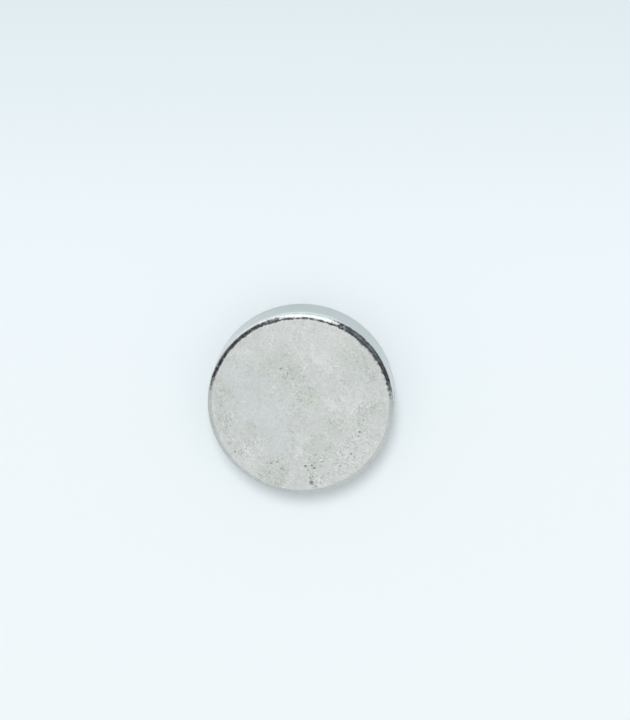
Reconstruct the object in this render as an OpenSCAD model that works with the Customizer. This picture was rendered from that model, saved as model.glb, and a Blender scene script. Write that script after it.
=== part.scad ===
// Disc magnet: one sintered blank, ground flat on both faces, tumbled and nickel plated.
// It lies on its back face, so +Z runs along the disc's axis and out of the front face.
// The origin is the centre of the back face. All sizes are in millimetres.
//
// The front edge has a narrow bevel. One arc blends the bevel into the flat face, and another
// blends it into the straight rim. The back edge is crisp, with a small rounding. The whole
// form is one section, turned about the disc's axis.

/* [Disc] */
// Diameter over the rim
disc_d = 20; // [8:0.5:60]
// Thickness from face to face
disc_t = 5; // [2:0.25:20]

/* [Front edge] */
// How far the bevel and its blend reach in from the rim, across the front face
bevel_across_face = 0.5; // [0.3:0.05:1]
// How far the bevel falls for each millimetre that it reaches outwards
bevel_slope = 0.75; // [0.5:0.05:1.5]
// Radius of the blend from the front face to the bevel
face_blend_r = 0.25; // [0.05:0.01:0.3]
// Radius of the blend from the bevel to the rim
rim_blend_r = 0.25; // [0.2:0.05:0.8]

/* [Back edge] */
// Radius of the rounding between the back face and the rim
back_edge_r = 0.12; // [0.05:0.01:0.5]

/* [Smoothness] */
// Number of sides of the disc as drawn
disc_sides = 180; // [60:12:240]
// Number of sides of a full circle in the section as drawn
arc_sides = 96; // [48:12:144]

/* [Hidden] */

disc_r = disc_d / 2;
front_flat_r = disc_r - bevel_across_face;
back_flat_r = disc_r - back_edge_r;

// Directions in the section, as [away from the axis, up]
outwards = [1, 0];
upwards = [0, 1];
downwards = -upwards;
square_to_bevel = [bevel_slope, 1] / norm([bevel_slope, 1]);

// Centre of the blend at the front face. Its arc touches the face where the flat ends.
face_blend_at = [front_flat_r, disc_t - face_blend_r];

// Centre of the blend at the rim. Its arc touches the rim's straight wall, and the bevel's
// line touches both arcs, which sets how far this centre lies below the other one.
centres_apart = bevel_across_face - rim_blend_r;
rim_blend_drop = (centres_apart * square_to_bevel.x + rim_blend_r - face_blend_r) / square_to_bevel.y;
rim_blend_at = face_blend_at + [centres_apart, -rim_blend_drop];

// Centre of the back edge's rounding
back_edge_at = [back_flat_r, back_edge_r];

// Half of the section, to the right of the axis, with a straight chord across each arc
module chorded_outline() {
    polygon([
        [0, 0],
        back_edge_at + back_edge_r * downwards,
        back_edge_at + back_edge_r * outwards,
        rim_blend_at + rim_blend_r * outwards,
        rim_blend_at + rim_blend_r * square_to_bevel,
        face_blend_at + face_blend_r * square_to_bevel,
        face_blend_at + face_blend_r * upwards,
        [0, disc_t]
    ]);
}

// A slice of a round disc between two directions less than a right angle apart, which
// fills a corner of the section from its chord out to its arc
module round_corner(centre, radius, from, to) {
    past_the_arc = 2 * radius;
    intersection() {
        translate(centre)
            circle(r = radius, $fn = arc_sides);
        polygon([centre, centre + past_the_arc * from, centre + past_the_arc * to]);
    }
}

// The magnet, turned about its axis
module disc_magnet() {
    color("silver")
        rotate_extrude($fn = disc_sides) {
            chorded_outline();
            round_corner(back_edge_at, back_edge_r, downwards, outwards);
            round_corner(rim_blend_at, rim_blend_r, outwards, square_to_bevel);
            round_corner(face_blend_at, face_blend_r, square_to_bevel, upwards);
        }
}

disc_magnet();
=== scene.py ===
"""The looks of the disc magnet: one sintered blank, ground flat on both faces, tumbled so that
its front edge is worn to an uneven bevel, and nickel plated all over.

A geometry node tree turns the blank about its axis, marks where its edge is rubbed and where
highlights and dark reflections are painted on it, and wears the edge. Pits are then pressed into
the front face. Lengths are in metres, in the frame of the CAD part: +Z runs along the disc's
axis and out of its front face. Azimuths are in degrees, from +X towards +Y. Upper, left and
right are as seen from above, with +Y up and +X to the right.
"""
import math
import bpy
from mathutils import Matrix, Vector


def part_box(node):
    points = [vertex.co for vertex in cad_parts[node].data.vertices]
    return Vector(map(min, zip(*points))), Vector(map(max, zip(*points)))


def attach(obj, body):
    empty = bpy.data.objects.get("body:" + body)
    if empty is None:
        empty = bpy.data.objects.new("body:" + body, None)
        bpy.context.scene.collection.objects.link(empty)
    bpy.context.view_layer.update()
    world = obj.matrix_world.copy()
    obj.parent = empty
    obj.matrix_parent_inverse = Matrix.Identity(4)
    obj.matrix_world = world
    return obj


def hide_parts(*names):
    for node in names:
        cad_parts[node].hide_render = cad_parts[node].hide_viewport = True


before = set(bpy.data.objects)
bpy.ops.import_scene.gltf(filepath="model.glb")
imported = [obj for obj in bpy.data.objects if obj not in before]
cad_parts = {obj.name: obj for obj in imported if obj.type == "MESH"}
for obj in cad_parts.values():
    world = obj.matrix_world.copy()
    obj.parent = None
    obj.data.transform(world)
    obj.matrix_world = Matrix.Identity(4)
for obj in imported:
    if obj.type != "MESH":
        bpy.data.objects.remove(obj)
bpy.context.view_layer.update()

from types import SimpleNamespace

import bpy
import numpy as np
from mathutils import Matrix, Vector
from mathutils.noise import noise_vector, seed_set

MM = 0.001

# ---------------------------------------------------------------- sizes

disc_low, disc_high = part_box("disc_magnet")
disc_r = (disc_high.x - disc_low.x) / 2
disc_t = disc_high.z - disc_low.z
front_centre = Vector((0, 0, disc_high.z))

# The edges have the same sizes as in the CAD part
bevel_across_face = 0.5 * MM
bevel_slope = 0.75
face_blend_r = 0.25 * MM
rim_blend_r = 0.25 * MM
back_edge_r = 0.12 * MM


# ---------------------------------------------------------------- node trees

def feed(tree, socket, value):
    """Links value to the socket if it comes from another node, or else sets it there."""
    if isinstance(value, Field):
        value = value.socket
    if isinstance(value, bpy.types.NodeSocket):
        tree.links.new(value, socket)
    else:
        socket.default_value = value


class Field:
    """A number in a node tree. Arithmetic on it adds the nodes that work it out."""

    def __init__(self, tree, socket):
        self.tree = tree
        self.socket = socket

    def math(self, operation, *values):
        node = self.tree.nodes.new("ShaderNodeMath")
        node.operation = operation
        for socket, value in zip(node.inputs, values):
            feed(self.tree, socket, value)
        return Field(self.tree, node.outputs[0])

    def __add__(self, other):
        return self.math("ADD", self, other)

    def __radd__(self, other):
        return self.math("ADD", other, self)

    def __sub__(self, other):
        return self.math("SUBTRACT", self, other)

    def __rsub__(self, other):
        return self.math("SUBTRACT", other, self)

    def __mul__(self, other):
        return self.math("MULTIPLY", self, other)

    def __rmul__(self, other):
        return self.math("MULTIPLY", other, self)

    def __truediv__(self, other):
        return self.math("DIVIDE", self, other)

    def __neg__(self):
        return self.math("MULTIPLY", self, -1.0)

    def above(self, limit):
        """1 where the number is above the limit, and 0 elsewhere."""
        return self.math("GREATER_THAN", self, limit)

    def ramp(self, low, high, smooth=False):
        """0 where the number is low, rising to 1 where it is high, and flat beyond them."""
        node = self.tree.nodes.new("ShaderNodeMapRange")
        node.interpolation_type = "SMOOTHSTEP" if smooth else "LINEAR"
        node.clamp = True
        feed(self.tree, node.inputs["Value"], self)
        feed(self.tree, node.inputs["From Min"], low)
        feed(self.tree, node.inputs["From Max"], high)
        return Field(self.tree, node.outputs["Result"])


def largest(values):
    result = values[0]
    for value in values[1:]:
        result = result.math("MAXIMUM", result, value)
    return result


def distance(across, along):
    return across.math("SQRT", across * across + along * along)


def add(tree, kind, settings=(), **inputs):
    """Adds a node with its settings and inputs. An input's name has _ in place of each space."""
    node = tree.nodes.new(kind)
    for name, value in dict(settings).items():
        setattr(node, name, value)
    for name, value in inputs.items():
        feed(tree, node.inputs[name.replace("_", " ")], value)
    return node


def vector(tree, x=0.0, y=0.0, z=0.0):
    return add(tree, "ShaderNodeCombineXYZ", X=x, Y=y, Z=z).outputs[0]


def components(tree, vector_socket):
    node = add(tree, "ShaderNodeSeparateXYZ", Vector=vector_socket)
    return [Field(tree, socket) for socket in node.outputs]


def noise(tree, place, size, detail=1.0, roughness=0.5):
    """Noise around 0 whose coarsest lumps are about the given size in metres."""
    node = add(tree, "ShaderNodeTexNoise", Vector=place, Scale=1 / size, Detail=detail,
               Roughness=roughness)
    return Field(tree, node.outputs["Fac"]) - 0.5


# ---------------------------------------------------------------- the turned blank

FACE_CELLS = 160                 # along each side of the square that a face is mapped from
FRONT_MARGIN = 0.6 * MM          # how far the turned band reaches in over the front face
BACK_MARGIN = 0.3 * MM           # the same over the back face
WELD_DISTANCE = 0.002 * MM       # points nearer to each other than this become one

# Cells along each stretch of the section that is turned
CELLS_ALONG = {
    "front face": 10,
    "face blend": 4,
    "bevel": 5,
    "rim blend": 9,
    "rim": 22,
    "back edge": 4,
    "back face": 3,
}


def line(tree, start, end, cells):
    made = add(tree, "GeometryNodeCurvePrimitiveLine", Start=vector(tree, *start),
               End=vector(tree, *end))
    return add(tree, "GeometryNodeResampleCurve", Curve=made.outputs[0], Count=cells + 1).outputs[0]


def arc(tree, centre, radius, start, sweep, cells):
    made = add(tree, "GeometryNodeCurveArc", {"mode": "RADIUS"}, Resolution=cells + 1, Radius=radius,
               Start_Angle=start, Sweep_Angle=sweep)
    return add(tree, "GeometryNodeTransform", Geometry=made.outputs[0],
               Translation=vector(tree, *centre)).outputs[0]


def join(tree, parts):
    node = tree.nodes.new("GeometryNodeJoinGeometry")
    for part in parts:
        tree.links.new(part, node.inputs[0])
    return node.outputs[0]


def square_to_bevel(size):
    """The direction square to the bevel: its angle, and how far it leads outwards and up."""
    slope = size["Bevel slope"]
    turn = slope.math("ARCTAN2", 1.0, slope)
    return turn, turn.math("COSINE", turn), turn.math("SINE", turn)


def edge_section(tree, size):
    """The part's section from the front face round the rim to the back face, as [away from the
    axis, up], with the heights of the bevel's foot and of the straight rim's top."""
    radius, thickness = size["Disc radius"], size["Disc thickness"]
    reach, back_edge = size["Bevel reach"], size["Back edge radius"]
    face_blend, rim_blend = size["Face blend radius"], size["Rim blend radius"]
    turn, out, up = square_to_bevel(size)
    quarter = math.pi / 2

    # Centres of the arcs. The bevel's line touches both of the blends.
    front_flat, back_flat = radius - reach, radius - back_edge
    face_at = (front_flat, thickness - face_blend)
    apart = reach - rim_blend
    drop = (apart * out + rim_blend - face_blend) / up
    rim_at = (face_at[0] + apart, face_at[1] - drop)
    back_at = (back_flat, back_edge)

    bevel_top = (face_at[0] + face_blend * out, face_at[1] + face_blend * up)
    bevel_foot = (rim_at[0] + rim_blend * out, rim_at[1] + rim_blend * up)
    rim_top = rim_at[1]
    cells = CELLS_ALONG
    section = join(tree, [
        line(tree, (front_flat - FRONT_MARGIN, thickness), (front_flat, thickness), cells["front face"]),
        arc(tree, face_at, face_blend, quarter, turn - quarter, cells["face blend"]),
        line(tree, bevel_top, bevel_foot, cells["bevel"]),
        arc(tree, rim_at, rim_blend, turn, -turn, cells["rim blend"]),
        line(tree, (radius, rim_top), (radius, back_edge), cells["rim"]),
        arc(tree, back_at, back_edge, 0.0, -quarter, cells["back edge"]),
        line(tree, (back_flat, 0.0), (back_flat - BACK_MARGIN, 0.0), cells["back face"]),
    ])
    return section, bevel_foot[1], rim_top


def turned(tree, section, radius, sides):
    """The section turned about the Z axis. The ring's own frame has the section's up as -Z."""
    ring = add(tree, "GeometryNodeCurvePrimitiveCircle", {"mode": "RADIUS"}, Resolution=sides,
               Radius=radius)
    hung = add(tree, "GeometryNodeTransform", Geometry=section, Translation=vector(tree, -radius),
               Scale=(1.0, -1.0, 1.0))
    return add(tree, "GeometryNodeCurveToMesh", Curve=ring.outputs[0],
               Profile_Curve=hung.outputs[0]).outputs[0]


def round_sheet(tree, radius, height, cells):
    """A flat round sheet of even cells: a square grid whose squares become circles."""
    grid = add(tree, "GeometryNodeMeshGrid", Size_X=2.0, Size_Y=2.0, Vertices_X=cells + 1,
               Vertices_Y=cells + 1)
    x, y, _ = components(tree, tree.nodes.new("GeometryNodeInputPosition").outputs[0])
    sideways = x.math("ABSOLUTE", x).above(y.math("ABSOLUTE", y))
    away = sideways * x + (1.0 - sideways) * y
    eighth = math.pi / 4
    turn = sideways * (eighth * y / x) + (1.0 - sideways) * (2 * eighth - eighth * x / y)
    place = vector(tree, radius * away * turn.math("COSINE", turn),
                   radius * away * turn.math("SINE", turn), height)
    return add(tree, "GeometryNodeSetPosition", Geometry=grid.outputs["Mesh"],
               Position=place).outputs[0]


# ---------------------------------------------------------------- the rubbed and worn edge

class Place:
    """Where the points of the blank lie, in its node tree."""

    def __init__(self, tree):
        self.position = tree.nodes.new("GeometryNodeInputPosition").outputs[0]
        self.x, self.y, self.z = components(tree, self.position)
        self.away = distance(self.x, self.y)

    def facing(self, azimuth, within, until, smooth=False):
        """1 within so many degrees of the azimuth, fading until it is 0 so many degrees from it."""
        turn = math.radians(azimuth)
        nearness = (self.x * math.cos(turn) + self.y * math.sin(turn)) / self.away
        return nearness.ramp(math.cos(math.radians(until)), math.cos(math.radians(within)), smooth)


def most_worn_and_darkest(place):
    """1 in the middle of the upper right side, where the edge is worn the most and its painted dark
    reflection is darkest, and 0 past it.
    """
    return place.facing(39.7, within=2.9, until=31.9, smooth=True)


def edge_marks(tree, size, bevel_foot, rim_top):
    """Marks from 0 to 1 or a little more, which the plating's finish follows. Some of them paint
    highlights and dark reflections into its colour.
    """
    place = Place(tree)
    front_flat = size["Disc radius"] - size["Bevel reach"]
    back_flat = size["Disc radius"] - size["Back edge radius"]
    past_flat = place.away - front_flat
    on_front = place.z.above(size["Disc thickness"] / 2.0)

    # Polished off the ground faces, and roughened by tumbling on the bevel
    flat = on_front * front_flat + (1.0 - on_front) * back_flat
    polished = (place.away - flat).ramp(0.0, 0.06 * MM, smooth=True)
    tumbled = polished * place.z.ramp(bevel_foot - 0.25 * MM, bevel_foot)

    # Burnished bright on the bevel's +Y side, partly a painted highlight, and a painted highlight
    # along its foot at the upper left
    bright = place.facing(85.4, within=10, until=25.2)
    above_foot = place.z.ramp(bevel_foot - 0.02 * MM, bevel_foot + 0.08 * MM)
    foot_highlight = place.facing(129.7, within=23.2, until=37) * (1.0 - above_foot)
    burnished_and_highlit = tumbled * largest([bright, foot_highlight])

    # A painted highlight on the +Y side of the rim, along its top
    upper_rim = place.z.ramp(rim_top - 1.0 * MM, rim_top - 0.4 * MM, smooth=True)
    rim_highlight = place.facing(100, within=18.2, until=45.6, smooth=True) * upper_rim * polished

    # Scuffed dark on the rest of the +Y half of the bevel, most where it is worn the most: partly grime
    # and partly a painted dark reflection. A painted dark reflection also runs along its corner with
    # the face, with a thin painted dark line inside that corner at the right
    upper = place.facing(90, within=66.4, until=87.1)
    sides = tumbled * upper * (1.0 - bright) * (1.0 - foot_highlight) * (1.0 + 0.45 * most_worn_and_darkest(place))
    corner = past_flat.ramp(-0.02 * MM, 0.05 * MM) - past_flat.ramp(0.17 * MM, 0.26 * MM)
    corner = corner * on_front * place.facing(90, within=45.6, until=72.5)
    spill = place.facing(25.5, within=17.7, until=41.2) * past_flat.ramp(-0.2 * MM, 0.02 * MM)
    spill = spill * upper * on_front * (1.0 - polished) * 0.8
    scuffs_and_dark_reflection = largest([sides, corner, spill])

    return {"polished": polished, "tumbled": tumbled, "burnished_and_highlit": burnished_and_highlit, "rim_highlight": rim_highlight,
            "scuffs_and_dark_reflection": scuffs_and_dark_reflection}


def edge_wear(tree, size, bevel_foot, rim_top):
    """How far wear moves each point of the blank. Where the bevel is worn deeper, its corner with
    the face slides inwards over the face, and its foot slides down the rim, so the flats beside it
    stay flat."""
    place = Place(tree)
    thickness, wear = size["Disc thickness"], size["Edge wear"]
    front_flat = size["Disc radius"] - size["Bevel reach"]
    _, out, up = square_to_bevel(size)
    right = most_worn_and_darkest(place)

    # How deep the bevel is cut: broad unevenness, lumps, a fine tumbled texture and a few chips.
    # The corner with the face lies a little further out at the right.
    broad = noise(tree, place.position, 6 * MM) * (0.08 * MM)
    lumps = noise(tree, place.position, 0.8 * MM) * (0.02 * MM)
    fine = noise(tree, place.position, 0.3 * MM) * (0.04 * MM)
    chips = noise(tree, place.position, 0.9 * MM).ramp(0.12, 0.22) * (0.02 * MM)
    cut = wear * (broad + lumps + fine + chips - right * (0.02 * MM))

    # The bevel's foot lies lower at the right, and the rim's top is rounded over towards +Y
    lower = wear * right * (0.14 * MM)
    rounder = place.facing(65.2, within=23.4, until=38.9, smooth=True)
    below_face = 1.0 - place.z.ramp(rim_top, thickness, smooth=True)
    round_down = wear * rounder * below_face * place.z.ramp(rim_top - 1.5 * MM, rim_top) * (0.22 * MM)

    on_bevel = place.z.ramp(bevel_foot, thickness)
    slide_in = place.away.ramp(front_flat - FRONT_MARGIN, front_flat) * on_bevel
    slide_down = (1.0 - on_bevel) * place.z.ramp(bevel_foot - 1.5 * MM, bevel_foot)
    inwards = -(cut * slide_in / (out * place.away))
    down = (cut + lower) * slide_down / up + round_down
    return vector(tree, place.x * inwards, place.y * inwards, -down)


# ---------------------------------------------------------------- the blank as a mesh

BLANK_SIZES = {
    "Disc radius": disc_r,
    "Disc thickness": disc_t,
    "Bevel reach": bevel_across_face,
    "Bevel slope": bevel_slope,
    "Face blend radius": face_blend_r,
    "Rim blend radius": rim_blend_r,
    "Back edge radius": back_edge_r,
    "Edge wear": 1.0,
}


def blank_tree():
    """The node tree that turns the blank from its sizes, then marks and wears its edge."""
    tree = bpy.data.node_groups.new("turned blank", "GeometryNodeTree")
    interface = tree.interface
    for name in BLANK_SIZES:
        interface.new_socket(name, in_out="INPUT", socket_type="NodeSocketFloat")
    interface.new_socket("Face cells", in_out="INPUT", socket_type="NodeSocketInt")
    interface.new_socket("Plating", in_out="INPUT", socket_type="NodeSocketMaterial")
    interface.new_socket("Geometry", in_out="OUTPUT", socket_type="NodeSocketGeometry")
    given = tree.nodes.new("NodeGroupInput").outputs
    size = {name: Field(tree, given[name]) for name in BLANK_SIZES}
    cells = Field(tree, given["Face cells"])
    radius = size["Disc radius"]

    section, bevel_foot, rim_top = edge_section(tree, size)
    band = turned(tree, section, radius, 4.0 * cells)
    front_r = radius - size["Bevel reach"] - FRONT_MARGIN
    back_r = radius - size["Back edge radius"] - BACK_MARGIN
    front = round_sheet(tree, front_r, size["Disc thickness"], cells)
    back = add(tree, "GeometryNodeFlipFaces", Mesh=round_sheet(tree, back_r, 0.0, cells)).outputs[0]
    blank = add(tree, "GeometryNodeMergeByDistance", Geometry=join(tree, [band, front, back]),
                Distance=WELD_DISTANCE).outputs[0]
    for name, mark in edge_marks(tree, size, bevel_foot, rim_top).items():
        blank = add(tree, "GeometryNodeStoreNamedAttribute", {"data_type": "FLOAT", "domain": "POINT"},
                    Geometry=blank, Name=name, Value=mark).outputs[0]
    worn = add(tree, "GeometryNodeSetPosition", Geometry=blank,
               Offset=edge_wear(tree, size, bevel_foot, rim_top)).outputs[0]
    smooth = add(tree, "GeometryNodeSetShadeSmooth", Geometry=worn).outputs[0]
    real = add(tree, "GeometryNodeRealizeInstances", Geometry=smooth).outputs[0]
    plated = add(tree, "GeometryNodeSetMaterial", Geometry=real, Material=given["Plating"]).outputs[0]
    result = tree.nodes.new("NodeGroupOutput")
    tree.links.new(plated, result.inputs[0])
    return tree


def turn_blank(name, plating):
    """The blank as a plain mesh object, made by the node tree."""
    tree = blank_tree()
    holder = bpy.data.objects.new(name, bpy.data.meshes.new(name))
    bpy.context.scene.collection.objects.link(holder)
    turning = holder.modifiers.new("turning", "NODES")
    turning.node_group = tree
    values = {**BLANK_SIZES, "Face cells": FACE_CELLS, "Plating": plating}
    for item in tree.interface.items_tree:
        if item.in_out == "INPUT":
            turning[item.identifier] = values[item.name]
    bpy.context.view_layer.update()
    graph = bpy.context.evaluated_depsgraph_get()
    mesh = bpy.data.meshes.new_from_object(holder.evaluated_get(graph))
    holder.modifiers.remove(turning)
    holder.data = mesh
    mesh.name = name
    return holder


# ---------------------------------------------------------------- marks on the faces

# Pits and marks are (x, y, radius) in millimetres. On the back, x and y are as seen from above.
PITS = [
    (0.55, -6.85, 0.13), (0.85, -7.3, 0.09), (1.25, -6.75, 0.11), (1.5, -7.05, 0.12),
    (1.05, -8.15, 0.10), (1.35, -8.05, 0.08), (1.2, -8.7, 0.22), (1.7, -9.1, 0.08),
    (2.2, -8.7, 0.06), (-2.05, -7.15, 0.09), (-1.8, -7.3, 0.08), (-2.5, -6.4, 0.09),
    (6.4, -2.9, 0.11), (6.3, -3.4, 0.08), (5.5, -5.4, 0.08), (4.85, -6.55, 0.07),
    (-7.05, -5.35, 0.09), (2.4, -6.3, 0.08), (4.4, 2.8, 0.06),
]
PIT_DEPTH = 0.2                  # as a share of the pit's radius

FRONT_MARKS = {
    # yellowish film left by the plating bath
    "tarnish": [
        (-2.9, 4.5, 1.6), (-1.8, 6.0, 1.1), (-0.8, 3.9, 1.7), (-0.4, 2.4, 1.6), (1.0, 1.0, 1.3),
        (4.9, 6.0, 1.6), (6.8, 4.9, 1.0), (7.6, 3.0, 1.1), (8.5, -0.3, 1.1), (6.7, -1.6, 1.2),
        (3.4, -2.5, 1.7), (2.0, -4.6, 1.6), (1.5, -6.8, 1.4), (-3.0, -7.4, 1.7), (-8.6, 0.8, 1.1),
        (-8.4, -2.0, 1.0), (-5.3, -2.5, 1.1),
    ],
    # smooth bluish plating
    "haze": [
        (-7.0, 3.5, 2.2), (-5.3, 0.8, 2.3), (-2.9, -0.3, 2.0), (-1.9, -3.3, 2.0), (-5.2, -1.0, 1.9),
        (-3.6, -2.2, 1.8), (-2.4, -4.9, 1.2),
    ],
    # whitish, slightly frosted plating
    "frost": [
        (5.4, 0.7, 1.8), (3.4, 0.0, 1.1), (1.9, 4.8, 1.3), (-5.0, -6.0, 1.2), (0.3, -4.3, 1.0),
    ],
    # where the ground surface under the plating is rough and full of pinholes
    "coarse": [
        (-3.0, -7.6, 2.4), (1.6, -7.4, 2.4), (4.8, -6.2, 2.0), (6.6, -3.2, 1.9), (7.0, -0.4, 1.4),
        (7.6, 3.4, 1.5), (-0.4, 3.2, 1.6), (0.8, 1.2, 1.2), (-6.4, -5.0, 1.8), (-7.8, -1.4, 1.3),
        (0.4, 6.8, 1.0), (3.2, -2.4, 1.0),
    ],
}
BACK_MARKS = {
    "tarnish": [
        (-4.6, 4.2, 1.6), (2.6, 5.4, 1.2), (5.8, -1.2, 1.7), (-1.4, -5.6, 1.5), (-6.9, -1.8, 1.1),
    ],
    "haze": [(0.4, 0.6, 2.8), (-3.2, -1.6, 1.8)],
    "frost": [(4.2, 2.2, 1.6), (-5.4, -5.0, 1.4)],
    "coarse": [(5.2, -4.6, 2.4), (-6.8, 3.2, 2.2), (1.0, 8.0, 1.8), (-2.4, -7.4, 2.0)],
}


def inside_mark(points, x, y, radius):
    """How well inside a round mark each point lies: 1 in its middle, fading past its radius."""
    from_middle = np.hypot(points[:, 0] - x * MM, points[:, 1] - y * MM)
    return np.exp(-(from_middle / (radius * MM)) ** 2)


def strength_of(marks, points):
    """How strongly the marks show at each point, from 0 to 1."""
    strength = np.zeros(len(points))
    for x, y, radius in marks:
        strength = np.maximum(strength, inside_mark(points, x, y, radius))
    return strength


def wandering(points, by=0.9 * MM, lump=1.9 * MM, seed=2):
    """The points moved about by smooth noise, so that round marks come out with uneven outlines."""
    seed_set(seed)
    moved = [Vector(point) + by * noise_vector(Vector(point) / lump) for point in points]
    return np.array(moved)


def mark_faces(piece):
    """Stores how strongly each kind of mark shows at each vertex, and presses the pits in."""
    mesh = piece.data
    points = np.empty(len(mesh.vertices) * 3)
    mesh.vertices.foreach_get("co", points)
    points = points.reshape(-1, 3)
    front = points[:, 2] > disc_t / 2
    wandered = wandering(points)
    for kind in FRONT_MARKS:
        on_front = strength_of(FRONT_MARKS[kind], wandered)
        on_back = strength_of(BACK_MARKS[kind], wandered)
        layer = mesh.attributes.new(kind, "FLOAT", "POINT")
        layer.data.foreach_set("value", np.where(front, on_front, on_back))
    for x, y, radius in PITS:
        points[:, 2] -= front * inside_mark(points, x, y, radius) * PIT_DEPTH * radius * MM
    mesh.vertices.foreach_set("co", points.ravel())
    mesh.update()


# ---------------------------------------------------------------- materials

def new_material(name):
    material = bpy.data.materials.new(name)
    material.use_nodes = True
    tree = material.node_tree
    tree.nodes.clear()
    shader = tree.nodes.new("ShaderNodeBsdfPrincipled")
    output = tree.nodes.new("ShaderNodeOutputMaterial")
    tree.links.new(shader.outputs[0], output.inputs[0])
    return material, tree, shader


def attribute(tree, name):
    return Field(tree, add(tree, "ShaderNodeAttribute", {"attribute_name": name}).outputs["Fac"])


def tinted(colour, tint, share):
    """The colour with a share of the tint added, channel by channel."""
    return [channel + share * added for channel, added in zip(colour, tint)]


def covered(colour, cover, share):
    """The colour with a share of it covered by another, channel by channel."""
    return [(1.0 - share) * channel + share * over for channel, over in zip(colour, cover)]


# ---------------------------------------------------------------- the nickel plating

PLATE_COLOUR = (0.608, 0.642, 0.628)
TARNISH_TINT = (-0.022, -0.018, -0.038)     # what the thickest tarnish adds to the plate's colour
HAZE_TINT = (-0.004, 0.008, 0.018)          # the same for haze
# The scuffs' colour, partly grime and partly a painted dark reflection
SCUFF_AND_REFLECTION_COLOUR = (0.150, 0.156, 0.165)
PIT_COLOUR = (0.375, 0.395, 0.38)


def pits(tree, place, ragged):
    """1 inside the pits of the front face, and 0 outside."""
    x, y, z = components(tree, place)
    depths = []
    for pit_x, pit_y, radius in PITS:
        from_middle = distance(x - pit_x * MM, y - pit_y * MM)
        depths.append((radius * MM - from_middle + ragged).ramp(-0.02 * MM, 0.05 * MM))
    return largest(depths) * z.above(disc_t / 2)


def film(tree, kind, ragged):
    """A mark of this kind with a ragged outline, from 0 to 1."""
    return (attribute(tree, kind) + ragged).ramp(0.25, 0.85, smooth=True)


def plate_texture(tree, place):
    """Noise of several sizes, each around 0, that breaks up the finish and its marks."""
    x, y, z = components(tree, place)
    drawn_out = vector(tree, (x * 0.9 + y * 0.45) * 3.0, y * 0.9 - x * 0.45, z)
    round_rim = vector(tree, x, y, z * 25.0)
    texture = SimpleNamespace(
        cloud=noise(tree, place, 9 * MM),
        mottle=noise(tree, place, 1.8 * MM, detail=3.0),
        zones=noise(tree, place, 1.3 * MM),
        grain=noise(tree, place, 0.6 * MM, detail=2.0, roughness=0.7),
        dents=noise(tree, place, 0.35 * MM),
        holes=noise(tree, place, 0.3 * MM),
        speckle=noise(tree, place, 0.17 * MM),
        streaks=noise(tree, drawn_out, 2.2 * MM, detail=2.0),
        scratches=noise(tree, round_rim, 2.5 * MM, detail=2.0),
    )
    texture.flecks = texture.dents * 1.7 + texture.speckle * 1.2 + texture.grain * 0.4
    return texture


def plate_marks(tree, place, texture):
    """How strongly each kind of mark shows, with its outline broken up."""
    mottle, grain, flecks = texture.mottle, texture.grain, texture.flecks
    polished = attribute(tree, "polished")
    burnished_and_highlit = attribute(tree, "burnished_and_highlit")
    scuffs_and_dark_reflection = attribute(tree, "scuffs_and_dark_reflection")
    ground = 1.0 - polished
    marks = SimpleNamespace(
        ground=ground,
        polished=polished,
        tumbled=attribute(tree, "tumbled"),
        rim_highlight=attribute(tree, "rim_highlight"),
        # Burnish with its painted highlight, and grime with its painted dark reflection, broken up into
        # flecks
        burnish_and_highlight=(burnished_and_highlit + flecks).ramp(0.25, 0.75) * burnished_and_highlit.ramp(0.0, 0.3),
        grime_and_reflection=(scuffs_and_dark_reflection - flecks).ramp(0.25, 0.9) * scuffs_and_dark_reflection.ramp(0.0, 0.3),
        tarnish=film(tree, "tarnish", mottle * 2.0 + grain * 0.8) * ground,
        haze=film(tree, "haze", mottle * 1.4 + grain * 0.3) * ground,
        frost=film(tree, "frost", texture.streaks * 3.0) * ground,
        coarse=film(tree, "coarse", mottle * 1.4) * ground,
        pit=pits(tree, place, (texture.speckle * 0.2 + grain * 0.1) * MM),
    )
    holed = 0.4 * ground + marks.coarse + marks.tarnish * 0.5
    marks.pinholes = (-texture.holes).ramp(0.15, 0.24) * holed
    return marks


def plate_lightness(texture, marks):
    """How much lighter than the plate's own colour it is, by its texture and marks."""
    speckle, grain = texture.speckle, texture.grain

    # The grain of the faces is weakest on the haze and strongest on the coarse ground
    zones = texture.zones.ramp(-0.15, 0.15)
    contrast = (0.75 + 0.45 * marks.coarse - 0.25 * marks.haze) * (0.6 + 0.9 * zones)
    on_faces = (grain * 0.5 + speckle * 0.9) * marks.ground * contrast
    on_bevel = (speckle * 0.5 + grain * 0.3) * marks.tumbled
    on_rim = texture.scratches * 0.12 * marks.polished
    uneven = texture.cloud * 0.36 + texture.mottle * 0.17 + on_faces + on_bevel + on_rim
    stains = marks.frost * 0.12 - marks.tarnish * 0.05
    light = (uneven + stains) * 0.4 - marks.pinholes * 0.12

    # The rim and bevel are darker than the faces, except where burnish with its painted highlight, or
    # the painted highlight along the rim's top, lightens them
    light = light - 0.09 * marks.polished - 0.02 * marks.tumbled
    return light + 0.16 * marks.burnish_and_highlight + 0.25 * marks.rim_highlight * (1.0 - marks.tumbled)


def plate_colour(texture, marks):
    """The plate's colour, with its stains, the grime and painted dark reflection in its scuffs, and its
    pits.
    """
    light = plate_lightness(texture, marks)
    clean = [channel + light for channel in PLATE_COLOUR]
    stained = tinted(tinted(clean, TARNISH_TINT, marks.tarnish), HAZE_TINT, marks.haze)
    shade = 0.93 + texture.flecks * 1.2 + texture.mottle * 0.8
    grime_and_reflection = [shade * channel for channel in SCUFF_AND_REFLECTION_COLOUR]
    return covered(covered(stained, grime_and_reflection, marks.grime_and_reflection), PIT_COLOUR, marks.pit)


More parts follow.
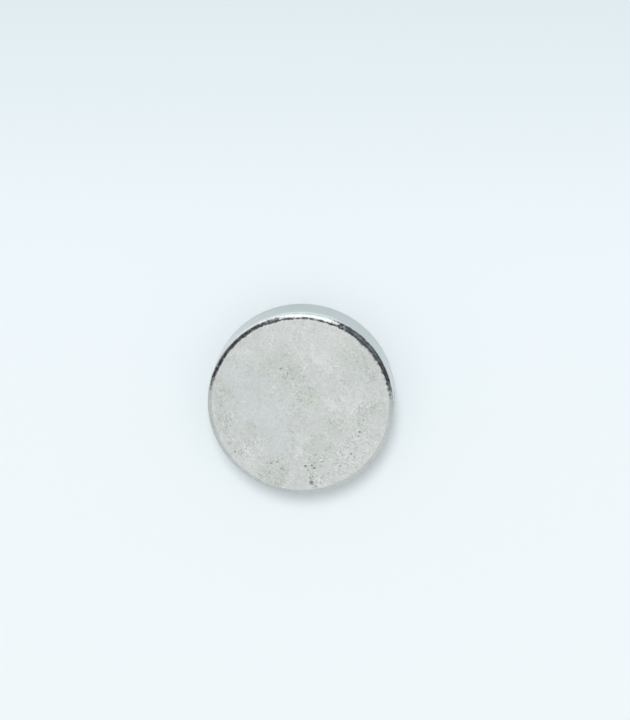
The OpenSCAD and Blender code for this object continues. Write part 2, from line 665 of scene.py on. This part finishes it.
def nickel_plate():
    """Nickel over a ground, pitted blank: satin on the faces, with thin stains and pinholes, glossy
    on the rim, and on the bevel roughened by tumbling, with dark scuffs and bright rubbed flecks,
    which are partly a painted dark reflection and a painted highlight."""
    material, tree, shader = new_material("nickel plate")
    place = tree.nodes.new("ShaderNodeTexCoord").outputs["Object"]
    texture = plate_texture(tree, place)
    marks = plate_marks(tree, place, texture)
    speckle, scratches = texture.speckle, texture.scratches
    feed(tree, shader.inputs["Base Color"], vector(tree, *plate_colour(texture, marks)))
    shader.inputs["Metallic"].default_value = 1.0

    satin = 0.36 + 0.08 * marks.coarse - 0.04 * marks.haze + 0.3 * marks.pit
    gloss = 0.13 + marks.tumbled * (0.09 + texture.grain * 0.3) + scratches * 0.05
    roughness = satin * marks.ground + gloss * marks.polished + speckle * 0.15
    feed(tree, shader.inputs["Roughness"], roughness)

    height = speckle * (0.4 * marks.ground + 0.35 * marks.tumbled) + texture.dents * 0.6 * marks.tumbled
    height = height + scratches * 0.05 * marks.polished - marks.pit * 2.0
    bumps = add(tree, "ShaderNodeBump", Height=height, Strength=1.0, Distance=0.02 * MM)
    feed(tree, shader.inputs["Normal"], bumps.outputs[0])
    return material


# ---------------------------------------------------------------- the room

CAMERA_DISTANCE = 257.5 * MM                    # from the middle of the front face
CAMERA_AZIMUTH = 77.8
CAMERA_ELEVATION = 73.6
VIEW_MIDDLE = Vector((1.59, 5.03, 0)) * MM      # where the camera aims, from the same middle
LENS = 120                                      # in millimetres, as the sensor's width is
SENSOR_WIDTH = 36

FLOOR_HALF = 1.0                                # half of the floor's width
PAPER_COLOUR = (0.905, 0.968, 0.985)
PAPER_NEAR_TINT = (-0.04, -0.03, -0.005)        # painted shade, added little by little from -Y to past the disc
PAPER_FAR_TINT = (-0.17, -0.14, -0.155)         # and more painted shade, from the disc's edge on towards +Y

LAMP_SHARE = 0.38               # of the light on the floor, and the white room gives the rest
LAMP_SIZE = 0.5
LAMP_DISTANCE = 1.5
LAMP_AZIMUTH = 93
LAMP_ELEVATION = 62

CARD_FOOT = 30 * MM             # how near to the axis the cards cover the floor
CARD_TOP = 38                   # elevation of the cards' tops, in degrees
CARD_GREY = (0.33, 0.334, 0.338)
SOFTBOX_WHITE = (1.5, 1.5, 1.5)
SOFTBOX_OUTLINE = [
    (57, 0), (63, 20), (68, CARD_TOP), (74, CARD_TOP), (84, CARD_TOP), (94, CARD_TOP),
    (104, CARD_TOP), (112, 27), (120, 21), (130, 16), (145, 10), (160, 0),
]


def towards(azimuth, elevation):
    """The direction at an azimuth from +X and an elevation above the floor, both in degrees."""
    a, e = math.radians(azimuth), math.radians(elevation)
    return Vector((math.cos(a) * math.cos(e), math.sin(a) * math.cos(e), math.sin(e)))


def add_object(name, data):
    made = bpy.data.objects.new(name, data)
    bpy.context.scene.collection.objects.link(made)
    return made


def add_camera():
    """Looks down on the front face from a little towards +Y, which is up in the view."""
    camera = add_object("camera", bpy.data.cameras.new("camera"))
    camera_at = front_centre + CAMERA_DISTANCE * towards(CAMERA_AZIMUTH, CAMERA_ELEVATION)
    aim_at = front_centre + VIEW_MIDDLE
    back = (camera_at - aim_at).normalized()
    right = Vector((0, 1, 0)).cross(back).normalized()
    camera.matrix_world = Matrix((right, back.cross(right), back)).transposed().to_4x4()
    camera.location = camera_at
    camera.data.lens = LENS
    camera.data.sensor_width = SENSOR_WIDTH
    camera.data.clip_start = 0.01
    camera.data.clip_end = 10
    bpy.context.scene.camera = camera


def floor_paper():
    """Pale bluish paper, with painted shade that makes it a little darker towards +Y."""
    material, tree, shader = new_material("pale paper")
    place = tree.nodes.new("ShaderNodeTexCoord").outputs["Object"]
    _, y, _ = components(tree, place)
    near = y.ramp(-60 * MM, 30 * MM, smooth=True)
    far = y.ramp(10 * MM, 60 * MM, smooth=True)
    paper = tinted(tinted(PAPER_COLOUR, PAPER_NEAR_TINT, near), PAPER_FAR_TINT, far)
    feed(tree, shader.inputs["Base Color"], vector(tree, *paper))
    shader.inputs["Roughness"].default_value = 0.9
    shader.inputs["Specular IOR Level"].default_value = 0
    return material


def add_floor():
    corners = [(-FLOOR_HALF, -FLOOR_HALF, 0), (FLOOR_HALF, -FLOOR_HALF, 0),
               (FLOOR_HALF, FLOOR_HALF, 0), (-FLOOR_HALF, FLOOR_HALF, 0)]
    mesh = bpy.data.meshes.new("floor")
    mesh.from_pydata(corners, [], [(0, 1, 2, 3)])
    mesh.materials.append(floor_paper())
    floor = add_object("floor", mesh)


def add_white_room():
    """The world: white where it is seen or mirrored, and dimmer as light, to leave the lamp its
    share."""
    world = bpy.data.worlds.new("studio")
    bpy.context.scene.world = world
    world.use_nodes = True
    tree = world.node_tree
    rays = tree.nodes.new("ShaderNodeLightPath").outputs
    kinds = ("Is Camera Ray", "Is Glossy Ray", "Is Transmission Ray")
    camera, glossy, through = [Field(tree, rays[kind]) for kind in kinds]
    seen = (camera + glossy + through).ramp(0.0, 1.0)
    background = tree.nodes["Background"]
    feed(tree, background.inputs["Strength"], (1.0 - LAMP_SHARE) + LAMP_SHARE * seen)
    background.inputs["Color"].default_value = (1, 1, 1, 1)


def add_lamp():
    """A big soft lamp behind the camera."""
    lamp = add_object("soft lamp", bpy.data.lights.new("soft lamp", "AREA"))
    lamp.data.shape = "DISK"
    lamp.data.size = LAMP_SIZE
    lamp_at = LAMP_DISTANCE * towards(LAMP_AZIMUTH, LAMP_ELEVATION)
    lamp.rotation_euler = lamp_at.to_track_quat("Z", "Y").to_euler()
    lamp.location = lamp_at
    full_light = math.pi * math.pi * LAMP_DISTANCE ** 2 / math.sin(math.radians(LAMP_ELEVATION))
    lamp.data.energy = LAMP_SHARE * full_light
    lamp.visible_glossy = False


def card_glow(name, colour):
    """A card's even glow, which doesn't change with the light on it."""
    material, tree, shader = new_material(name)
    shader.inputs["Base Color"].default_value = (0, 0, 0, 1)
    shader.inputs["Specular IOR Level"].default_value = 0
    shader.inputs["Emission Color"].default_value = (*colour, 1)
    shader.inputs["Emission Strength"].default_value = 1
    return material


def add_card(name, outline, colour, from_axis, above_floor):
    """A bent card that stands round the disc and shows only in the metal's gloss. The outline gives
    the card's top as (azimuth, elevation), and the card covers the floor up to near the disc."""
    points, quads = [], []
    for azimuth, elevation in outline:
        near_foot = CARD_FOOT * towards(azimuth, 0) + Vector((0, 0, above_floor))
        points += [near_foot, from_axis * towards(azimuth, 0), from_axis * towards(azimuth, elevation)]
    for i in range(0, len(points) - 3, 3):
        quads += [(i, i + 1, i + 4, i + 3), (i + 1, i + 2, i + 5, i + 4)]
    mesh = bpy.data.meshes.new(name)
    mesh.from_pydata(points, [], quads)
    mesh.materials.append(card_glow(name, colour))
    card = add_object(name, mesh)
    card.visible_camera = False
    card.visible_diffuse = False
    card.visible_shadow = False


def add_cards():
    """What the edge mirrors: a grey card round the +Y half, and a bright softbox just inside it."""
    around = [(azimuth, CARD_TOP) for azimuth in range(-8, 183, 5)]
    add_card("grey card", around, CARD_GREY, from_axis=0.4, above_floor=0.05 * MM)
    add_card("softbox", SOFTBOX_OUTLINE, SOFTBOX_WHITE, from_axis=0.38, above_floor=0.15 * MM)


# ---------------------------------------------------------------- the scene

add_camera()
add_floor()
add_white_room()
add_lamp()
add_cards()
plate = nickel_plate()
magnet = turn_blank("plated_disc", plate)
mark_faces(magnet)
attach(magnet, "root")
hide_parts("disc_magnet")

scene = bpy.context.scene
scene.view_settings.view_transform = "Standard"
